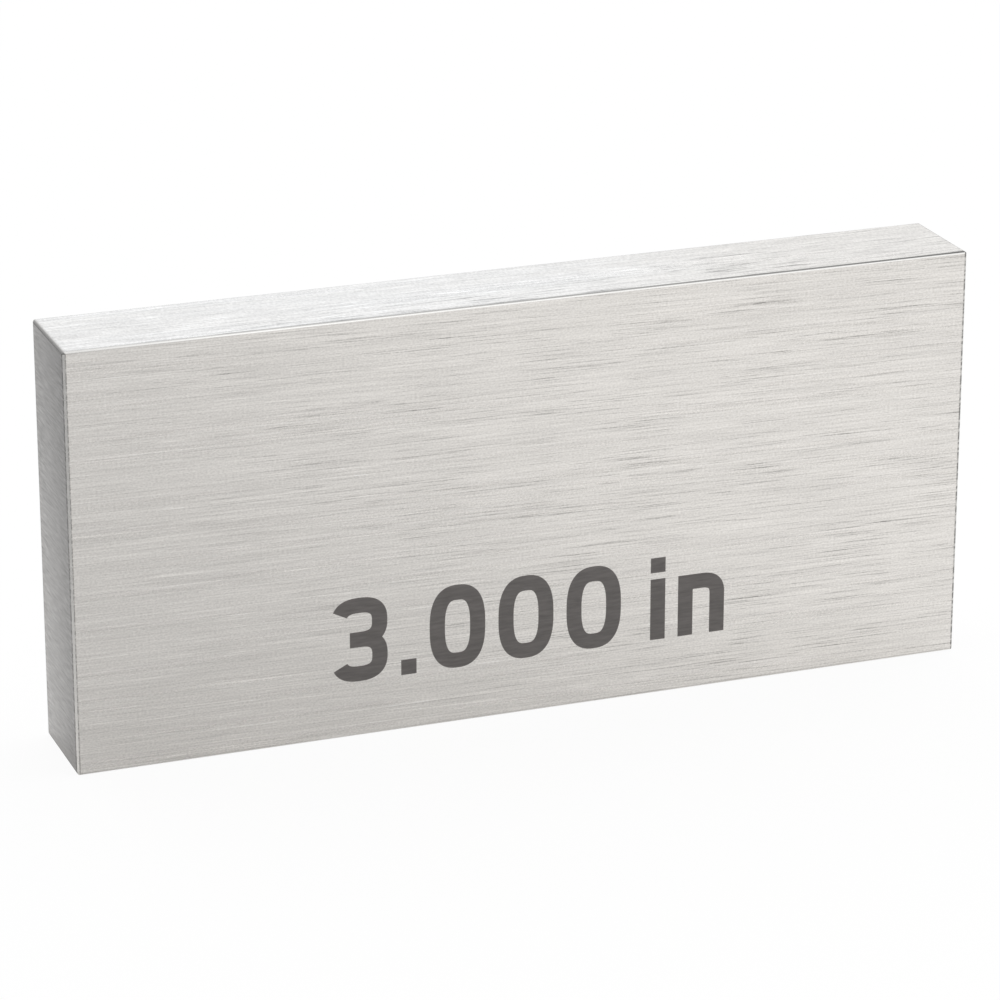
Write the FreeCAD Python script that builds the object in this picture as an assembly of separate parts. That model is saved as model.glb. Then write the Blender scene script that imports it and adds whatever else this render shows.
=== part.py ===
import FreeCAD, Part
import os

# A rectangular steel gauge block. Its length, between two lapped measuring faces, is the
# standard that it carries, and it stands here on one of its two narrow ground sides.
# X runs along that length, Y through the thickness and Z up, with the origin at the centre
# of the side that it stands on. All sizes are in millimetres.

nominal_length = 76.2         # 3 in, from one measuring face to the other
section_thickness = 9.0       # short side of the measuring faces, along Y
section_height = 35.0         # long side of the measuring faces, along Z
side_edge_bevel = 0.15        # leg of the 45 degree bevel along each of the four long edges
measuring_edge_bevel = 0.2    # leg of the bevel round both measuring faces, which keeps a
                              # knocked edge from standing proud where two blocks wring together

along = FreeCAD.Vector(1, 0, 0)
through = FreeCAD.Vector(0, 1, 0)
up = FreeCAD.Vector(0, 0, 1)


def bevelled_prism(first_axis, width, second_axis, height, bevel, length):
    """A prism about the origin whose section is a rectangle with its four corners bevelled.

    The rectangle measures width along the first axis and height along the second, and the
    prism runs for length along the axis square to both.
    """
    outer_u, outer_v = width / 2, height / 2
    inner_u, inner_v = outer_u - bevel, outer_v - bevel
    outline = [
        (-inner_u, -outer_v),
        (inner_u, -outer_v),
        (outer_u, -inner_v),
        (outer_u, inner_v),
        (inner_u, outer_v),
        (-inner_u, outer_v),
        (-outer_u, inner_v),
        (-outer_u, -inner_v),
    ]
    run = first_axis.cross(second_axis) * length
    corners = [first_axis * u + second_axis * v - run / 2 for u, v in outline]
    section = Part.Face(Part.makePolygon(corners + corners[:1]))
    return section.extrude(run)


def make_gauge_block():
    """The solid that the block's three views share, each drawn with its own bevels.

    The end view carries the bevels of the long edges. The plan and the side view carry those
    of the measuring faces. Where three bevels meet at a corner, they run out to one point.
    """
    end_view = bevelled_prism(
        through, section_thickness, up, section_height, side_edge_bevel, nominal_length
    )
    plan = bevelled_prism(
        along, nominal_length, through, section_thickness, measuring_edge_bevel, section_height
    )
    side_view = bevelled_prism(
        along, nominal_length, up, section_height, measuring_edge_bevel, section_thickness
    )
    block = end_view.common(plan).common(side_view)
    block.translate(up * (section_height / 2))
    return block


os.makedirs("parts", exist_ok=True)
gauge_block = make_gauge_block()
gauge_block.exportStep("parts/gauge_block.step")
print(f"gauge_block: {gauge_block.Volume:.1f} cubic mm, {len(gauge_block.Faces)} faces")
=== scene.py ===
import math
import bpy
import numpy as np
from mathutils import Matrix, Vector


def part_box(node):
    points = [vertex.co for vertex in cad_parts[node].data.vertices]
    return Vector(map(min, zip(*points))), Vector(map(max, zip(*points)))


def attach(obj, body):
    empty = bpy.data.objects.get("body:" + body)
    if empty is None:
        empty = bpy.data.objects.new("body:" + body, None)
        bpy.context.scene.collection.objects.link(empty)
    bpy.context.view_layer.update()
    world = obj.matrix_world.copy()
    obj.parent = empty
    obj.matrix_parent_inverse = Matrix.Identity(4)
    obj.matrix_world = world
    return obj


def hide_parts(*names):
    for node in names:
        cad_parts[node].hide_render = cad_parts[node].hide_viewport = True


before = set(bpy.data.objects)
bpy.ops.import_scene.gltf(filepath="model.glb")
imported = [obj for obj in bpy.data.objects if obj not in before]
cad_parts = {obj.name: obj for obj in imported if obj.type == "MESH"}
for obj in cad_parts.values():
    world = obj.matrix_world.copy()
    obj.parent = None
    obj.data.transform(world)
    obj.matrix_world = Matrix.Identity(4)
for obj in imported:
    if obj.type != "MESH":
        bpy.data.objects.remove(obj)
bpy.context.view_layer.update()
scene = bpy.context.scene
mm = 0.001                                   # metres in a millimetre

blockLow, blockHigh = (np.array(corner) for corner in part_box("gauge_block"))
halfSize = (blockHigh - blockLow) / 2
middle = (blockHigh + blockLow) / 2


view = {                                     # how the camera stands
    "lookAt": (-0.97 * mm, 0, 16.85 * mm),   # just left of the block's middle
    "turn": -20.47,                          # degrees round the block, towards its left end
    "rise": 19.97,                           # degrees above the floor
    "distance": 353.02 * mm,
    "lens": 156.85,
}


def makeCamera():
    # the camera stands at the point it looks at, plus a unit arrow back towards it times the distance
    turn, rise = math.radians(view["turn"]), math.radians(view["rise"])
    back = np.array([math.sin(turn) * math.cos(rise), -math.cos(turn) * math.cos(rise), math.sin(rise)])
    camera = bpy.data.objects.new("camera", bpy.data.cameras.new("camera"))
    camera.data.lens = view["lens"]
    camera.data.clip_start = 10 * mm
    camera.location = np.array(view["lookAt"]) + back * view["distance"]
    camera.rotation_euler = (math.pi / 2 - rise, 0, turn)
    scene.collection.objects.link(camera)
    scene.camera = camera


makeCamera()
print("camera placed")


def makePiece(name, points, faces, materials):
    mesh = bpy.data.meshes.new(name)
    mesh.from_pydata(points.tolist(), [], faces.tolist())
    piece = bpy.data.objects.new(name, mesh)
    scene.collection.objects.link(piece)
    for material in materials:
        mesh.materials.append(material)
    return piece


def addNode(tree, kind, settings=None, inputs=None):
    # settings are the node's own choices, and inputs are sockets to link or values to set
    node = tree.nodes.new(kind)
    for key, value in (settings or {}).items():
        setattr(node, key, value)
    for key, value in (inputs or {}).items():
        if isinstance(value, bpy.types.NodeSocket):
            tree.links.new(value, node.inputs[key])
        else:
            node.inputs[key].default_value = value
    return node


def calc(tree, operation, first, second=0.0, third=0.0):
    node = addNode(tree, "ShaderNodeMath", {"operation": operation}, {0: first, 1: second, 2: third})
    return node.outputs[0]


def ramp(tree, value, low, high, toLow=0.0, toHigh=1.0):
    # a soft step: toLow below low, toHigh above high, an S curve between them
    node = addNode(
        tree, "ShaderNodeMapRange", {"interpolation_type": "SMOOTHSTEP"},
        {"Value": value, "From Min": low, "From Max": high, "To Min": toLow, "To Max": toHigh})
    return node.outputs["Result"]


def grain(tree, place, length, width, tilt=0.0, detail=2.0, shift=0.0):
    # noise whose cells are drawn out to length along X and width across it
    mapping = addNode(
        tree, "ShaderNodeMapping", {"vector_type": "TEXTURE"},
        {"Vector": place, "Location": (shift, shift, shift), "Rotation": (0, math.radians(tilt), 0),
         "Scale": (length, groundSteel["spread"] * width, width)})
    noise = addNode(
        tree, "ShaderNodeTexNoise", {},
        {"Vector": mapping.outputs[0], "Scale": 1.0, "Detail": detail, "Roughness": 0.5})
    return noise.outputs["Fac"]


def newMaterial(name):
    material = bpy.data.materials.new(name)
    material.use_nodes = True
    tree = material.node_tree
    return material, tree, tree.nodes["Principled BSDF"]


def paintEdgeShade(tree, tone):
    # painted shade: darkens a line where a bevel meets a flat, standing in for the dark surroundings that the edges
    # mirror; broken into specks up the ends, unbroken along the top
    place = addNode(tree, "ShaderNodeTexCoord").outputs["Object"]
    mapping = addNode(
        tree, "ShaderNodeMapping", {"vector_type": "TEXTURE"},
        {"Vector": place, "Scale": (20 * mm, 20 * mm, 0.3 * mm)})
    speck = addNode(
        tree, "ShaderNodeTexNoise", {}, {"Vector": mapping.outputs[0], "Scale": 1.0, "Detail": 2.0})
    upward = addNode(tree, "ShaderNodeSeparateXYZ", {}, {0: place}).outputs["Z"]
    atTop = ramp(tree, upward, 2 * halfSize[2] - 0.8 * mm, 2 * halfSize[2] - 0.3 * mm)
    whole = calc(tree, "MAXIMUM", ramp(tree, speck.outputs["Fac"], 0.4, 0.58, 0.45, 1.0), atTop)
    paintedEdgeShade = addNode(tree, "ShaderNodeAttribute", {"attribute_name": "paintedEdgeShade"}).outputs["Fac"]
    return calc(tree, "MULTIPLY", tone, calc(tree, "SUBTRACT", 1.0, calc(tree, "MULTIPLY", paintedEdgeShade, whole)))


def tinted(tree, tone, colour):
    # a colour times a tone of about 1
    node = addNode(tree, "ShaderNodeVectorMath", {"operation": "SCALE"}, {0: colour, "Scale": tone})
    return node.outputs["Vector"]


groundSteel = {
    "colour": (0.79, 0.775, 0.753),
    "roughness": 0.3,
    "anisotropy": 0.6,                       # across the grinding lines
    "tilt": 0.8,                             # degrees between the lines and the long edges
    "spread": 2.6,                           # how much wider the lines lie on the narrow sides
    "lines": (                               # length, width and depth of tone of each set of fine lines
        (7 * mm, 0.1 * mm, 0.16),
        (12 * mm, 0.13 * mm, 0.07),
        (40 * mm, 0.5 * mm, 0.03),
    ),
    "grit": (0.2 * mm, 0.12 * mm, 0.24),
    "darkStrokes": ((9 * mm, 0.075 * mm, 0.38), (5 * mm, 0.075 * mm, 0.36)),
    "darkWhere": (12 * mm, 58 * mm),         # they grow between these, measured along X - 8 Y + Z
    "lightStrokes": ((12 * mm, 0.11 * mm, 0.17), (5 * mm, 0.1 * mm, 0.17)),
    "lightWhere": (70 * mm, 36 * mm),
    "topGain": 0.4,                         # extra depth of tone on the front half of the top side
    "break": (0.9 * mm, 0.12 * mm),          # length and width of the breaks in a stroke
    "patch": (10 * mm, 1.6 * mm),            # strokes gather in patches of this size
}


def strokes(tree, place, sizes, shift):
    # the crests of drawn-out noises, which stand alone as separate strokes, with small breaks
    tilt, total = groundSteel["tilt"], 0.0
    for length, width, depth in sizes:
        crest = ramp(tree, grain(tree, place, length, width, tilt, 1.0, shift + length), 0.58, 0.74, -0.06 * depth, depth)
        total = calc(tree, "ADD", crest, total)
    breaks = grain(tree, place, *groundSteel["break"], tilt, 1.0, shift)
    return calc(tree, "MULTIPLY", total, ramp(tree, breaks, 0.38, 0.56, 0.5, 1.0))


def makeGroundSteel():
    # tone = 1 + each set of fine lines - dark strokes high and to the right + light strokes low and to the left
    material, tree, shader = newMaterial("groundSteel")
    place = addNode(tree, "ShaderNodeTexCoord").outputs["Object"]
    tilt = groundSteel["tilt"]
    tone = 0.0
    for number, (length, width, depth) in enumerate(groundSteel["lines"]):
        fibre = grain(tree, place, length, width, tilt, 1.0, 0.1 * number)
        tone = calc(tree, "MULTIPLY_ADD", calc(tree, "SUBTRACT", fibre, 0.5), 2 * depth, tone)
    patch = ramp(tree, grain(tree, place, *groundSteel["patch"], tilt, 1.0, 0.5), 0.35, 0.6, 0.6, 1.15)
    corner = addNode(
        tree, "ShaderNodeVectorMath", {"operation": "DOT_PRODUCT"}, {0: place, 1: (1, -8, 1)}).outputs["Value"]
    for kind, sign, shift in (("dark", -1, 0.7), ("light", 1, 0.9)):
        where = ramp(tree, corner, *sorted(groundSteel[kind + "Where"]), *((0.1, 1.0)[::-sign]))
        stroke = calc(tree, "MULTIPLY", strokes(tree, place, groundSteel[kind + "Strokes"], shift), where)
        tone = calc(tree, "MULTIPLY_ADD", calc(tree, "MULTIPLY", stroke, patch), sign, tone)
    axes = addNode(tree, "ShaderNodeSeparateXYZ", {}, {0: place}).outputs
    onTop = ramp(tree, axes["Z"], 2 * halfSize[2] - 0.1 * mm, 2 * halfSize[2])
    forward = ramp(tree, axes["Y"], -1 * mm, 2.5 * mm, groundSteel["topGain"], 0.0)
    gain = calc(tree, "MULTIPLY_ADD", onTop, forward, 1.0)
    length, width, depth = groundSteel["grit"]
    grit = grain(tree, place, length, width, tilt, 1.0, 0.3)
    grit = calc(tree, "MULTIPLY_ADD", calc(tree, "SUBTRACT", grit, 0.5), 2 * depth, 1.0)
    tone = calc(tree, "MULTIPLY_ADD", tone, gain, grit)
    tone = paintEdgeShade(tree, tone)
    tree.links.new(tinted(tree, tone, groundSteel["colour"]), shader.inputs["Base Color"])
    roughness = ramp(tree, fibre, 0.3, 0.7, groundSteel["roughness"] - 0.03, groundSteel["roughness"] + 0.03)
    tree.links.new(roughness, shader.inputs["Roughness"])
    bump = addNode(tree, "ShaderNodeBump", {}, {"Height": tone, "Strength": 0.25, "Distance": 0.002 * mm})
    tree.links.new(bump.outputs["Normal"], shader.inputs["Normal"])
    lines = addNode(tree, "ShaderNodeTangent", {"direction_type": "UV_MAP", "uv_map": "grindMap"})
    tree.links.new(lines.outputs["Tangent"], shader.inputs["Tangent"])
    shader.inputs["Metallic"].default_value = 1.0
    shader.inputs["Anisotropic"].default_value = groundSteel["anisotropy"]
    shader.inputs["Anisotropic Rotation"].default_value = 0.25
    return material


lappedSteel = {
    "colour": (0.565, 0.561, 0.561),
    "roughness": 0.24,
    "marks": (1.8 * mm, 0.15 * mm, 0.7),    # length along Y, width along Z and depth of tone
    "speck": (0.8 * mm, 0.25 * mm, 0.3),
    "paintedFrontShade": (0.72, 1.04),                 # painted shade: the end faces darken from the back edge to the front edge
}


def makeLappedSteel():
    # tone = the lap's short marks along Y, deeper towards both edges, times a painted shade that darkens towards the
    # front edge along Y
    material, tree, shader = newMaterial("lappedSteel")
    place = addNode(tree, "ShaderNodeTexCoord").outputs["Object"]
    backward = addNode(tree, "ShaderNodeSeparateXYZ", {}, {0: place}).outputs["Y"]
    sideways = ramp(tree, calc(tree, "ABSOLUTE", backward), 1.5 * mm, 4 * mm, 0.5, 1.0)
    marks = 0.0
    for length, width, depth in (lappedSteel["marks"], lappedSteel["speck"]):
        mapping = addNode(
            tree, "ShaderNodeMapping", {"vector_type": "TEXTURE"}, {"Vector": place, "Scale": (length, length, width)})
        noise = addNode(
            tree, "ShaderNodeTexNoise", {}, {"Vector": mapping.outputs[0], "Scale": 1.0, "Detail": 1.0})
        mark = calc(tree, "SUBTRACT", noise.outputs["Fac"], 0.5)
        marks = calc(tree, "MULTIPLY_ADD", mark, 2 * depth, marks)
    tone = calc(tree, "MULTIPLY_ADD", marks, sideways, 1.0)
    # painted shade: darker towards the front edge
    tone = calc(
        tree, "MULTIPLY", tone, ramp(tree, backward, -halfSize[1], halfSize[1], *lappedSteel["paintedFrontShade"]))
    tone = paintEdgeShade(tree, tone)
    tree.links.new(tinted(tree, tone, lappedSteel["colour"]), shader.inputs["Base Color"])
    roughness = lappedSteel["roughness"]
    tree.links.new(
        ramp(tree, noise.outputs["Fac"], 0.3, 0.7, roughness - 0.02, roughness + 0.02), shader.inputs["Roughness"])
    shader.inputs["Metallic"].default_value = 1.0
    return material


bevelSteelWithHighlight = {
    # painted highlight: the colour is far paler than steel, so each bevel shows as a bright line
    "colour": (0.93, 0.92, 0.9),
    "roughness": 0.3,
    "nick": (0.5 * mm, 0.12),                # size and depth of the stone's marks
}


def makeBevelSteelWithHighlight():
    # tone = 1 + small marks left by the stone that broke the edge
    material, tree, shader = newMaterial("bevelSteelWithHighlight")
    place = addNode(tree, "ShaderNodeTexCoord").outputs["Object"]
    nickSize, nickDepth = bevelSteelWithHighlight["nick"]
    nick = addNode(
        tree, "ShaderNodeTexNoise", {}, {"Vector": place, "Scale": 1 / nickSize, "Detail": 4.0})
    tone = calc(tree, "MULTIPLY_ADD", calc(tree, "SUBTRACT", nick.outputs["Fac"], 0.5), 2 * nickDepth, 1.0)
    tone = paintEdgeShade(tree, tone)
    # painted highlight: the pale colour gives the bright line along each edge
    tree.links.new(tinted(tree, tone, bevelSteelWithHighlight["colour"]), shader.inputs["Base Color"])
    roughness = bevelSteelWithHighlight["roughness"]
    tree.links.new(
        ramp(tree, nick.outputs["Fac"], 0.3, 0.7, roughness - 0.05, roughness + 0.05), shader.inputs["Roughness"])
    shader.inputs["Metallic"].default_value = 1.0
    return material


block = {
    "endLeg": 0.2 * mm,                      # leg of the bevels round both ends
    "sideLeg": 0.15 * mm,                    # leg of the bevels along the long edges
    "edgeEase": 1.25,                        # 1 is a flat bevel with sharp arrises, 2 a full round
    "bevelSteps": np.array([0, 0.025, 0.05, 0.075, 0.1, 0.125, 0.15, 0.175, 0.2]) * mm,   # in from an edge
    "besideSteps": np.array([0.24, 0.28, 0.34, 0.45]) * mm,
    "flatSteps": (30, 4, 14),                # squares along X, Y and Z on the flats
    # painted shade: dark lines along the edges, deepest where an edge mirrors dark surroundings
    "lines": {                               # the dark line on a face where it turns to the next face: its width
        "any": (0.05 * mm, 0.05 * mm, 0.35, 0.35),     # on the face and on the bevel, and its depth at the left
        ("top", "front"): (0.14 * mm, 0.12 * mm, 0.28, 0.88),     # and at the right end
        ("front", "top"): (0.05 * mm, 0.2 * mm, 0.34, -1.3),
        ("front", "left"): (0.06 * mm, 0.03 * mm, 0.6, 0.6),
        ("left", "front"): (0.2 * mm, 0.035 * mm, 0.85, 0.85),
        ("left", "top"): (0.05 * mm, 0.27 * mm, 0.76, 0.76),
        ("top", "left"): (0.05 * mm, 0.05 * mm, 0, 0),
        ("left", "bottom"): (0.12 * mm, 0.1 * mm, 0.3, 0.3),
        ("right", "front"): (0.05 * mm, 0.2 * mm, 0.6, 0.6),
        ("front", "right"): (0.04 * mm, 0.2 * mm, 0.8, 0.8),
    },
}
faceNames = {"left": (0, -1), "right": (0, 1), "front": (1, -1), "back": (1, 1), "bottom": (2, -1), "top": (2, 1)}


def legBetween(axis, other):
    return block["endLeg"] if 0 in (axis, other) else block["sideLeg"]


def stations(half, steps):
    # places along one axis: even over the flat, and close together over the bevels and beside them
    edge = half - np.concatenate([block["bevelSteps"], block["besideSteps"]])
    flat = np.linspace(-edge[-1], edge[-1], steps + 1)
    return np.concatenate([-edge, flat[1:-1], edge[::-1]])


def fullness(points):
    # above 1 outside any of the three eased sections, where |u|^ease + |v|^ease = 1 for the reaches u and v
    # beyond the section's inner box, as shares of its leg
    size = np.zeros(len(points))
    for axis, other in ((0, 1), (0, 2), (1, 2)):
        leg = legBetween(axis, other)
        reach = np.maximum(np.abs(points[:, [axis, other]]) - halfSize[[axis, other]] + leg, 0) / leg
        size = np.maximum(size, (reach ** block["edgeEase"]).sum(1))
    return size[:, None]


def easedEdges(points):
    # each point is drawn back towards the inner box, by halves, until it lies inside all three sections
    inner = halfSize - block["endLeg"]
    core = np.clip(points, -inner, inner)
    low, high = np.zeros((len(points), 1)), np.ones((len(points), 1))
    for _ in range(24):
        share = (low + high) / 2
        inside = fullness(core + share * (points - core)) < 1
        low, high = np.where(inside, share, low), np.where(inside, high, share)
    return core + high * (points - core)


def paintedEdgeShadeAt(points):
    # the depth of the painted shade lines: a flat-topped bell of the distance to each arris in the section through it
    depth = np.zeros(len(points))
    rightward = (points[:, 0] / halfSize[0] + 1) / 2
    for face, (axis, side) in faceNames.items():
        for nextFace, (other, otherSide) in faceNames.items():
            if axis == other:
                continue
            onFace, onBevel, left, right = block["lines"].get((face, nextFace), block["lines"]["any"])
            along = halfSize[other] - otherSide * points[:, other] - legBetween(axis, other)
            away = np.hypot(halfSize[axis] - side * points[:, axis], along) / np.where(along > 0, onFace, onBevel)
            bell = np.exp(-away ** 4) * np.clip(left + (right - left) * rightward, 0, 0.95)
            depth = np.maximum(depth, bell)
    return depth


def makeBlock(materials):
    # six grids, one on each face of the box, that share their border points and are eased together
    grids, quads, kinds, start = [], [], [], 0
    for axis in range(3):
        across, upward = (axis + 1) % 3, (axis + 2) % 3
        u = stations(halfSize[across], block["flatSteps"][across])
        v = stations(halfSize[upward], block["flatSteps"][upward])
        gridU, gridV = np.meshgrid(u, v, indexing="ij")
        index = np.arange(gridU.size).reshape(gridU.shape)
        square = np.stack([index[:-1, :-1], index[1:, :-1], index[1:, 1:], index[:-1, 1:]], -1).reshape(-1, 4)
        flatU = np.abs(u[:-1] + u[1:]) / 2 < halfSize[across] - legBetween(axis, across)
        flatV = np.abs(v[:-1] + v[1:]) / 2 < halfSize[upward] - legBetween(axis, upward)
        onFlat = np.outer(flatU, flatV).ravel()
        for side in (-1, 1):
            points = np.empty((gridU.size, 3))
            points[:, axis] = side * halfSize[axis]
            points[:, across], points[:, upward] = gridU.ravel(), gridV.ravel()
            grids.append(points)
            quads.append((square if side > 0 else square[:, ::-1]) + start)
            kinds.append(np.where(onFlat, 0 if axis == 0 else 1, 2))
            start += len(points)
    cube, places = np.unique(np.round(np.concatenate(grids), 9), axis=0, return_inverse=True)
    faces, kinds = places.ravel()[np.concatenate(quads)], np.concatenate(kinds)
    points = easedEdges(cube)
    piece = makePiece("block", points + middle, faces, materials)
    mesh = piece.data
    mesh.polygons.foreach_set("material_index", kinds.astype(np.int32))
    mesh.polygons.foreach_set("use_smooth", kinds == 2)
    # painted shade along the edges, kept on the points for the materials to darken their colour
    paintedEdgeShade = mesh.attributes.new("paintedEdgeShade", "FLOAT", "POINT")
    paintedEdgeShade.data.foreach_set("value", paintedEdgeShadeAt(points).astype(np.float32))
    corner = points[faces.ravel()]
    ends = np.repeat(kinds == 0, 4)
    grind = np.where(ends[:, None], corner[:, 1:], np.stack([corner[:, 0], corner[:, 1] + corner[:, 2]], 1))
    mesh.uv_layers.new(name="grindMap").data.foreach_set("uv", (grind * 10).ravel().astype(np.float32))
    mesh.update()
    return piece


gaugeBlock = makeBlock([makeLappedSteel(), makeGroundSteel(), makeBevelSteelWithHighlight()])
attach(gaugeBlock, "root")
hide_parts("gauge_block")
print("block made:", len(gaugeBlock.data.polygons), "faces")


mark = {
    "width": 34 * mm,
    "height": 7.15 * mm,
    "lowerHeight": 5.3 * mm,                 # of the small letters
    "baseline": 4.7 * mm,                    # above the side that the block stands on
    "stroke": 1.3 * mm,
    "digitWidth": 4.75 * mm,
    "letterWidth": 4.1 * mm,
    "wordSpace": 2.6 * mm,
    "squareness": 2.7,                       # 2 is an ellipse, more is squarer
    "proud": 0.008 * mm,
    "sunk": 0.02 * mm,
    "steps": 72,
    "colour": (0.163, 0.151, 0.145),
    "roughness": 0.55,
}


def ovalPath(centre, radii, fromAngle, toAngle, steps):
    # a superellipse arc: x = a cos^(2/n), y = b sin^(2/n), with the signs kept
    angle = np.radians(np.linspace(fromAngle, toAngle, steps))
    power = 2 / mark["squareness"]
    wave = np.stack([np.cos(angle), np.sin(angle)], 1)
    return np.array(centre) + np.array(radii) * np.sign(wave) * np.abs(wave) ** power


def ribbon(path, closed, lift):
    # a flat bar carried along the path: its four corners are the path plus or minus half the stroke, low and high
    ahead = np.roll(path, -1, 0) if closed else np.vstack([path[1:], 2 * path[-1:] - path[-2:-1]])
    behind = np.roll(path, 1, 0) if closed else np.vstack([2 * path[:1] - path[1:2], path[:-1]])
    along = ahead - behind
    along /= np.linalg.norm(along, axis=1, keepdims=True)
    side = np.stack([-along[:, 1], along[:, 0]], 1) * mark["stroke"] / 2
    low, high = -mark["sunk"], mark["proud"] + lift
    count = len(path)
    ring = np.zeros((count, 4, 3))
    for corner, (sign, level) in enumerate(((1, low), (1, high), (-1, high), (-1, low))):
        ring[:, corner, [0, 2]] = path + sign * side
        ring[:, corner, 1] = -level
    index = np.arange(count * 4).reshape(count, 4)
    nextRing = np.roll(index, -1, 0) if closed else index[1:]
    thisRing = index if closed else index[:-1]
    sides = np.stack(
        [thisRing, np.roll(thisRing, -1, 1), np.roll(nextRing, -1, 1), nextRing], -1).reshape(-1, 4)
    caps = [] if closed else [index[0][::-1], index[-1]]
    return ring.reshape(-1, 3), np.vstack([sides, *caps])


def line(*points):
    return np.array(points, float)


def glyphs():
    # each glyph is its width and its strokes, drawn on a baseline from x = 0
    stroke, tall, small = mark["stroke"], mark["height"], mark["lowerHeight"]
    wide, letter, steps = mark["digitWidth"], mark["letterWidth"], mark["steps"]
    half = stroke / 2
    nought = ovalPath((wide / 2, tall / 2), (wide / 2 - half, tall / 2 - half), 0, 360, steps + 1)[:-1]
    bowl = ((wide - stroke) / 2, (tall - stroke) / 4)
    upperCentre, lowerCentre = (wide / 2, half + 3 * bowl[1]), (wide / 2, half + bowl[1])
    waist = line((wide / 2 - 0.8 * mm, tall / 2))
    upper = np.vstack([ovalPath(upperCentre, bowl, 155, -90, steps), waist])
    lower = ovalPath(lowerCentre, bowl, 90, -155, steps)
    dot = line((0, half), (stroke, half))
    stem = line((half, 0), (half, small))
    tittle = line((0, tall - half), (stroke, tall - half))
    arch = np.vstack([
        line((half, small - half)),
        ovalPath((letter / 2, small - half - 1.3 * mm), (letter / 2 - half, 1.3 * mm), 90, 0, steps),
        line((letter - half, 0))])
    return {
        "3": (wide, [(upper, False), (lower, False)]),
        "0": (wide, [(nought, True)]),
        ".": (stroke, [(dot, False)]),
        "i": (stroke, [(stem, False), (tittle, False)]),
        "n": (letter, [(stem, False), (arch, False)]),
    }


def makeMark(text):
    # glyphs side by side, with even gaps that fill the width, as one piece just proud of the wide side
    shapes = glyphs()
    widths = [mark["wordSpace"] if each == " " else shapes[each][0] for each in text]
    gaps = [0 if " " in pair else 1 for pair in zip(text, text[1:])]
    gap = (mark["width"] - sum(widths)) / sum(gaps)
    starts = np.concatenate([[0], np.cumsum(np.array(widths[:-1]) + gap * np.array(gaps))]) - mark["width"] / 2
    points, faces, start = [], [], 0
    for each, left in zip(text, starts):
        for number, (path, closed) in enumerate(shapes[each][1] if each != " " else []):
            ring, sides = ribbon(path + np.array([left, mark["baseline"]]), closed, -0.002 * mm * number)
            points.append(ring + np.array([0, blockLow[1], blockLow[2]]))
            faces.append(sides + start)
            start += len(ring)
    return makePiece("sizeMark", np.vstack(points), np.vstack(faces), [makeEtchedMark()])


def makeEtchedMark():
    # a dull dark oxide with a faint mottle
    material, tree, shader = newMaterial("etchedMark")
    place = addNode(tree, "ShaderNodeTexCoord").outputs["Object"]
    mottle = grain(tree, place, 1.5 * mm, 0.2 * mm, 0.0, 3.0)
    tone = calc(tree, "MULTIPLY_ADD", calc(tree, "SUBTRACT", mottle, 0.5), 0.8, 1.0)
    tree.links.new(tinted(tree, tone, mark["colour"]), shader.inputs["Base Color"])
    shader.inputs["Roughness"].default_value = mark["roughness"]
    return material


sizeMark = makeMark("3.000 in")
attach(sizeMark, "root")
print("size mark made:", len(sizeMark.data.polygons), "faces")


studio = {
    "floorSize": 8.0,
    "floorColour": (0.88, 0.88, 0.88, 1),
    "floorGlow": (0.88, 0.6),              # share of glow in the floor: plain white as the camera sees it, the painted falloff as metal does
    "white": (1.03, 1.03, 1.03, 1),
    "falloff": {-85 * mm: 0.15, -41 * mm: 0.6, -5 * mm: 0.73, 30 * mm: 0.985, 50 * mm: 1.03},     # painted light falloff: tone of the glow that metal mirrors in the floor, along X, dimmer to the left
    "falloffTint": (1, 0.977, 0.948),
    "fromWhere": (0.6, 0.8, 0),              # the side that most of the light comes from
    "light": ((0.35, 0.35, 0.35, 1), (1.4, 1.4, 1.4, 1)),    # on the far side and on that side
    "backLamp": {"size": (130 * mm, 300 * mm), "towards": (0.256, 0.907, 0.342), "distance": 450 * mm,
                 "glow": 0.14, "colour": (0.8, 0.99, 1.25)},
    "topLamp": {"size": (400 * mm, 400 * mm), "towards": (0.2, -0.35, 0.9), "distance": 600 * mm,
                "glow": 0.25, "colour": (1, 1, 1)},
}


def blendColours(tree, share, colours):
    node = addNode(tree, "ShaderNodeMix", {"data_type": "RGBA"}, {0: share, 6: colours[0], 7: colours[1]})
    return node.outputs[2]


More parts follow.
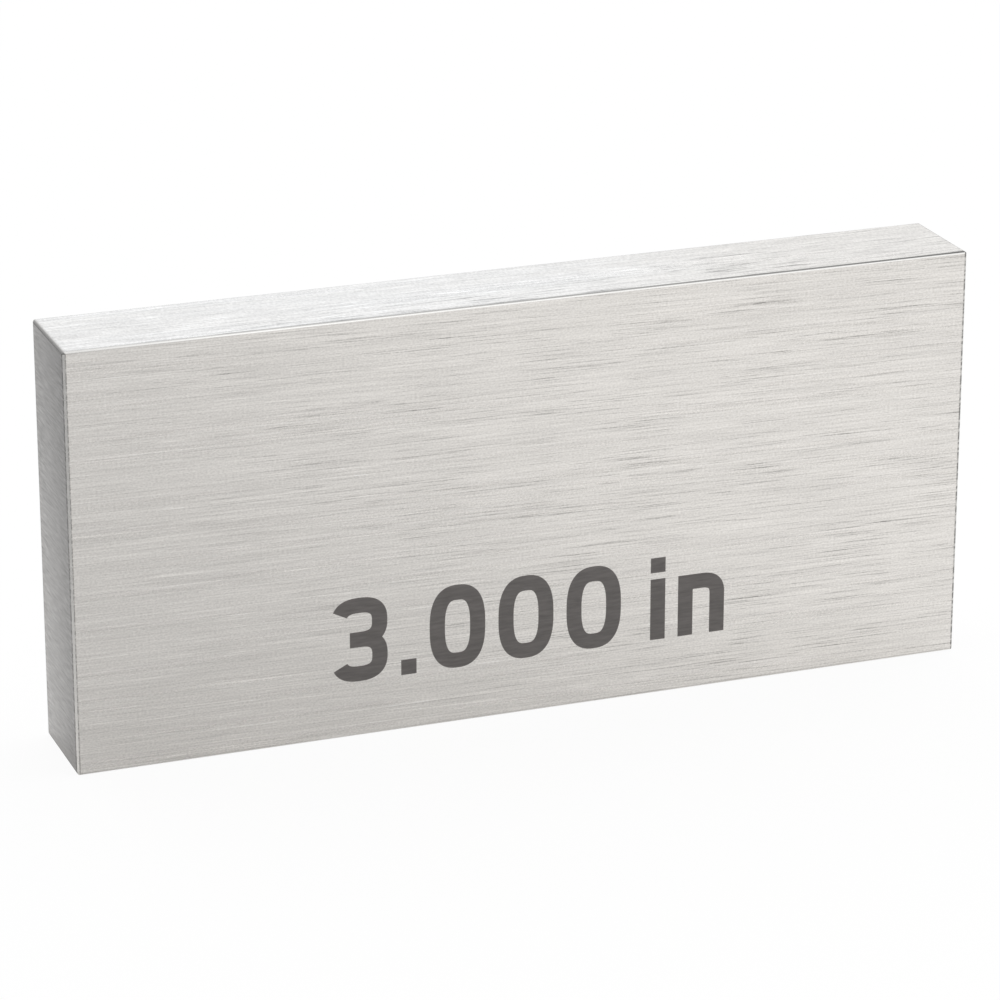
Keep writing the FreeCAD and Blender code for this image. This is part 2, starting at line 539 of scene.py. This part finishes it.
def makeFloor():
    # matt paper that keeps a shadow, mixed with plain white where it is seen or looked through to, and with a painted
    # glow that falls off to the left where it is mirrored
    size = studio["floorSize"] / 2
    shownWhite, mirroredGlow = studio["floorGlow"]
    material, tree, shader = newMaterial("floor")
    shader.inputs["Base Color"].default_value = studio["floorColour"]
    shader.inputs["Roughness"].default_value = 1.0
    shader.inputs["Specular IOR Level"].default_value = 0.0
    path = addNode(tree, "ShaderNodeLightPath").outputs
    shown = calc(tree, "MAXIMUM", path["Is Camera Ray"], path["Is Transmission Ray"])
    share = calc(
        tree, "MULTIPLY_ADD", shown, shownWhite, calc(tree, "MULTIPLY", path["Is Glossy Ray"], mirroredGlow))
    place = addNode(tree, "ShaderNodeTexCoord").outputs["Object"]
    rightward = addNode(tree, "ShaderNodeSeparateXYZ", {}, {0: place}).outputs["X"]
    places = sorted(studio["falloff"])
    share2 = addNode(
        tree, "ShaderNodeMapRange", {}, {"Value": rightward, "From Min": places[0], "From Max": places[-1]})
    tones = addNode(tree, "ShaderNodeValToRGB", {}, {0: share2.outputs["Result"]})
    stops = tones.color_ramp.elements
    while len(stops) < len(places):
        stops.new(0.5)
    for stop, each in zip(stops, places):
        stop.position = (each - places[0]) / (places[-1] - places[0])
        stop.color = [studio["falloff"][each] * tint for tint in studio["falloffTint"]] + [1]
    # painted light falloff, seen only in reflections
    mirrored = tones.outputs["Color"]
    colour = blendColours(tree, path["Is Glossy Ray"], (studio["white"], mirrored))
    white = addNode(tree, "ShaderNodeEmission", {}, {"Color": colour, "Strength": 1.0})
    mixed = addNode(tree, "ShaderNodeMixShader", {}, {0: share, 1: shader.outputs[0], 2: white.outputs[0]})
    tree.links.new(mixed.outputs[0], tree.nodes["Material Output"].inputs["Surface"])
    points = size * np.array([[-1, -1, 0], [1, -1, 0], [1, 1, 0], [-1, 1, 0]], float)
    floor = makePiece("floor", points, np.array([[0, 1, 2, 3]]), [material])


def makeWorld():
    # plain white where it is seen, mirrored or looked through to, and otherwise light that grows towards one side
    world = bpy.data.worlds.new("studio")
    world.use_nodes = True
    scene.world = world
    tree = world.node_tree
    direction = addNode(tree, "ShaderNodeTexCoord").outputs["Generated"]
    side = addNode(
        tree, "ShaderNodeVectorMath", {"operation": "DOT_PRODUCT"}, {0: direction, 1: studio["fromWhere"]})
    light = blendColours(tree, ramp(tree, side.outputs["Value"], -0.8, 0.8), studio["light"])
    path = addNode(tree, "ShaderNodeLightPath").outputs
    seen = calc(
        tree, "MAXIMUM", path["Is Camera Ray"],
        calc(tree, "MAXIMUM", path["Is Glossy Ray"], path["Is Transmission Ray"]))
    colour = blendColours(tree, seen, (light, (1, 1, 1, 1)))
    tree.links.new(colour, tree.nodes["Background"].inputs["Color"])


def makeLamp(name):
    # a soft box that adds its glow to what lies behind it: watts = glow * pi * area
    lamp = studio[name]
    towards = Vector(lamp["towards"]).normalized()
    light = bpy.data.lights.new(name, "AREA")
    light.shape = "RECTANGLE"
    light.size, light.size_y = lamp["size"]
    light.energy = lamp["glow"] * math.pi * light.size * light.size_y
    light.color = lamp["colour"]
    box = bpy.data.objects.new(name, light)
    box.location = Vector(middle) + towards * lamp["distance"]
    box.rotation_euler = towards.to_track_quat("Z", "Y").to_euler()
    scene.collection.objects.link(box)


makeFloor()
makeWorld()
makeLamp("backLamp")
makeLamp("topLamp")
scene.view_settings.view_transform = "Standard"
print("studio lit")
